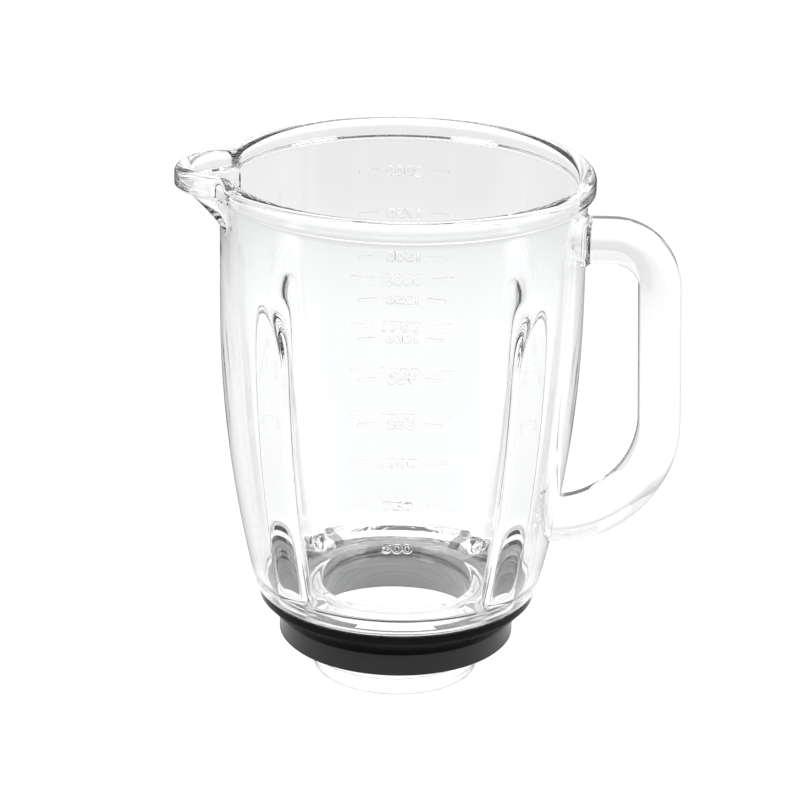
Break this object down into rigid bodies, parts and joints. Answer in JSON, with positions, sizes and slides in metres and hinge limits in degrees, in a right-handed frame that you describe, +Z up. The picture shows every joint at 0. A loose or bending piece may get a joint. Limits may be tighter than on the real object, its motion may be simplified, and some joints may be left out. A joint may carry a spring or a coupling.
{
  "type": "blender jar",
  "caption": "Clear pressed glass blender jar with a pouring spout, a loop handle, inner ribs and an open neck, standing in a black collar ring.",
  "frame": {"origin": "on the jar's axis, in the plane of the open neck's lower end, on which the jar stands", "axes": "+Z up along the jar's axis to the mouth, +X towards the handle, -X towards the spout"},
  "size_m": [0.2074, 0.154, 0.2175],
  "materials": {
    "clear_glass": "clear, fire polished",
    "black_plastic": "black, satin moulded"
  },
  "bodies": {
    "root": {"glass_jar": "clear_glass", "base_collar": "black_plastic"}
  },
  "joints": []
}
